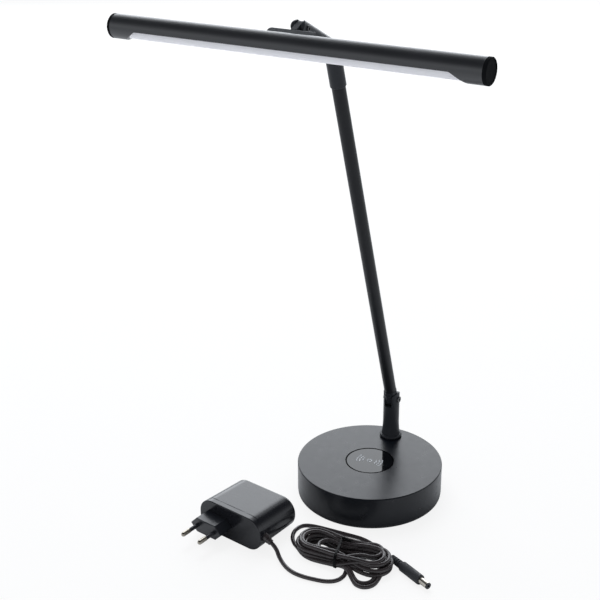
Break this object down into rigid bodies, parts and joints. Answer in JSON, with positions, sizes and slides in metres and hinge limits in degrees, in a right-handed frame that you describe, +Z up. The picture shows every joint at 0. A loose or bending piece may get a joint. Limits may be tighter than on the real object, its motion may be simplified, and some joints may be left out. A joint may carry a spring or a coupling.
{
  "type": "piano lamp",
  "caption": "Piano lamp: round weighted base with touch disc, swivelling post, leaning arm, bent neck and slim LED bar head; adapter and tied lead beside it.",
  "frame": {"origin": "centre of the round base's underside, on the surface it stands on", "axes": "+Z up; +X along the lamp head, to the right as seen from the front; -Y to the front, the way the arm leans"},
  "size_m": [0.31, 0.2307, 0.4393],
  "materials": {
    "base_housing": "satin moulded ABS, fine texture",
    "base_cover": "moulded ABS",
    "cast_weight": "rough cast",
    "foam_rubber": "closed-cell foam rubber",
    "touch_glass": "high gloss",
    "circuit_board": "solder resist",
    "moulded_black": "moulded, semi-matt",
    "adapter_gloss": "polished moulding",
    "nickel": "nickel plated brass",
    "steel_screw": "zinc plated",
    "black_screw": "black oxide",
    "painted_metal": "satin black powder coat",
    "painted_aluminium": "black anodised, fine blasted",
    "bare_aluminium": "extruded",
    "white_board": "white solder resist",
    "led_phosphor": "silicone with phosphor",
    "opal_diffuser": "opal PMMA",
    "cord_rubber": "soft PVC",
    "tie_plastic": "plastic-coated wire"
  },
  "bodies": {
    "base": {"base_shell": "base_housing", "base_plate": "base_cover", "base_weight": "cast_weight", "base_screws": "steel_screw", "foot_pad": "foam_rubber", "touch_disc": "touch_glass", "touch_contact": "steel_screw", "control_board": "circuit_board", "power_socket": "moulded_black", "power_socket_pin": "nickel", "swivel_bush": "moulded_black", "adapter_case": "adapter_gloss", "adapter_cover": "adapter_gloss", "adapter_plug_block": "moulded_black", "mains_pins": "nickel", "mains_pin_sleeves": "moulded_black", "adapter_relief": "cord_rubber", "cord_lead": "cord_rubber", "cord_hank": "cord_rubber", "cord_tail": "cord_rubber", "hank_tie": "tie_plastic", "power_plug_boot": "cord_rubber", "power_plug_grip": "cord_rubber", "power_plug_barrel": "nickel", "power_plug_insulator": "moulded_black"},
    "post": {"post": "painted_metal", "swivel_spring": "steel_screw", "swivel_nut": "steel_screw", "lower_hinge_screw": "black_screw", "lower_hinge_nut": "black_screw"},
    "arm": {"arm_foot": "painted_metal", "arm_tube": "painted_metal", "arm_wire": "cord_rubber", "arm_sleeve": "painted_metal", "lower_hinge_washers": "steel_screw", "upper_hinge_screw": "black_screw", "upper_hinge_nut": "black_screw"},
    "neck": {"neck": "painted_metal", "upper_hinge_washers": "steel_screw", "front_hinge_screw": "black_screw", "front_hinge_nut": "black_screw"},
    "head": {"head_bracket": "painted_metal", "saddle_screws": "steel_screw", "head_tube": "painted_aluminium", "diffuser": "opal_diffuser", "led_carrier": "bare_aluminium", "led_board": "white_board", "led_chips": "led_phosphor", "end_cap_left": "moulded_black", "end_cap_right": "moulded_black", "front_hinge_washers": "steel_screw"}
  },
  "joints": [
    {"name": "post_swivel", "type": "hinge", "parent": "base", "child": "post", "pos_m": [-0.00572, 0.05018, 0.03], "axis": [0, 0, 1], "range_deg": [-83.5, 96.5]},
    {"name": "arm_tilt", "type": "hinge", "parent": "post", "child": "arm", "pos_m": [-0.00572, 0.05018, 0.0697], "axis": [1, 0, 0], "range_deg": [-33, 42]},
    {"name": "neck_tilt", "type": "hinge", "parent": "arm", "child": "neck", "pos_m": [-0.00572, -0.05987, 0.41247], "axis": [1, 0, 0], "range_deg": [-60, 40]},
    {"name": "head_tilt", "type": "hinge", "parent": "neck", "child": "head", "pos_m": [-0.00572, -0.10147, 0.43348], "axis": [1, 0, 0], "range_deg": [-40, 38]}
  ]
}
